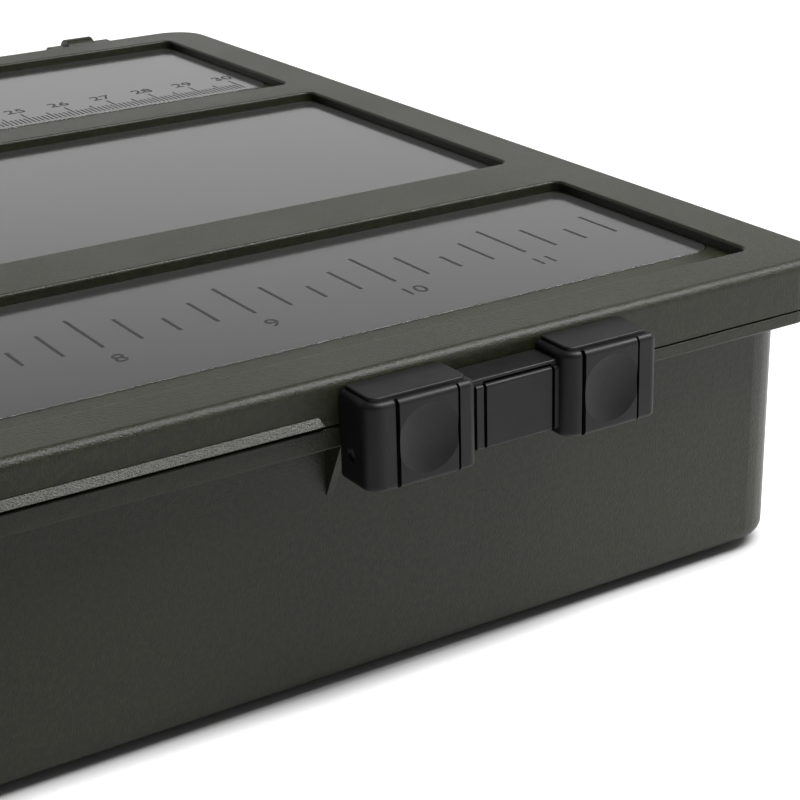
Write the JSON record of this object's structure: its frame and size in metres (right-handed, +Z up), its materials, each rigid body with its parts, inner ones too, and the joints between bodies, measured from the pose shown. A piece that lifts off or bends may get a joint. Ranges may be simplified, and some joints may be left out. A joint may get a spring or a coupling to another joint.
{
  "type": "tackle box",
  "caption": "Shallow hinged-lid tackle box: ruled smoked windows in an olive lid, rocker latches along the front, and removable dividers inside.",
  "frame": {"origin": "centre of the foot ring, on the surface that the box stands on", "axes": "+X to the right along the front, +Y from the latches towards the hinges, +Z up"},
  "size_m": [0.3346, 0.2438, 0.052],
  "materials": {
    "olive_plastic": "satin",
    "smoked_pane": "gloss",
    "black_plastic": "satin",
    "steel_pin": "satin",
    "insert_plastic": "satin",
    "ruler_ink": "matte"
  },
  "bodies": {
    "base": {"tub": "olive_plastic", "latch_pin_left": "steel_pin", "hinge_pin_left": "steel_pin", "latch_pin_right": "steel_pin", "hinge_pin_right": "steel_pin", "partition_front": "insert_plastic", "partition_rear": "insert_plastic", "divider_front_1": "insert_plastic", "divider_front_2": "insert_plastic", "divider_front_3": "insert_plastic", "divider_middle_1": "insert_plastic", "divider_middle_2": "insert_plastic", "divider_rear_1": "insert_plastic", "divider_rear_2": "insert_plastic", "divider_rear_3": "insert_plastic"},
    "lid": {"lid_frame": "olive_plastic", "finger_lip": "olive_plastic", "window_front": "smoked_pane", "window_middle": "smoked_pane", "window_rear": "smoked_pane"},
    "left_latch": {"latch_left": "black_plastic"},
    "right_latch": {"latch_right": "black_plastic"}
  },
  "joints": [
    {"name": "lid_hinge", "type": "hinge", "parent": "base", "child": "lid", "pos_m": [0, 0.1179, 0.0486], "axis": [-1, 0, 0], "range_deg": [0, 105]},
    {"name": "left_latch_pivot", "type": "hinge", "parent": "base", "child": "left_latch", "pos_m": [-0.0979, -0.1172, 0.0411], "axis": [1, 0, 0], "range_deg": [0, 28]},
    {"name": "right_latch_pivot", "type": "hinge", "parent": "base", "child": "right_latch", "pos_m": [0.0979, -0.1172, 0.0411], "axis": [1, 0, 0], "range_deg": [0, 28]}
  ]
}
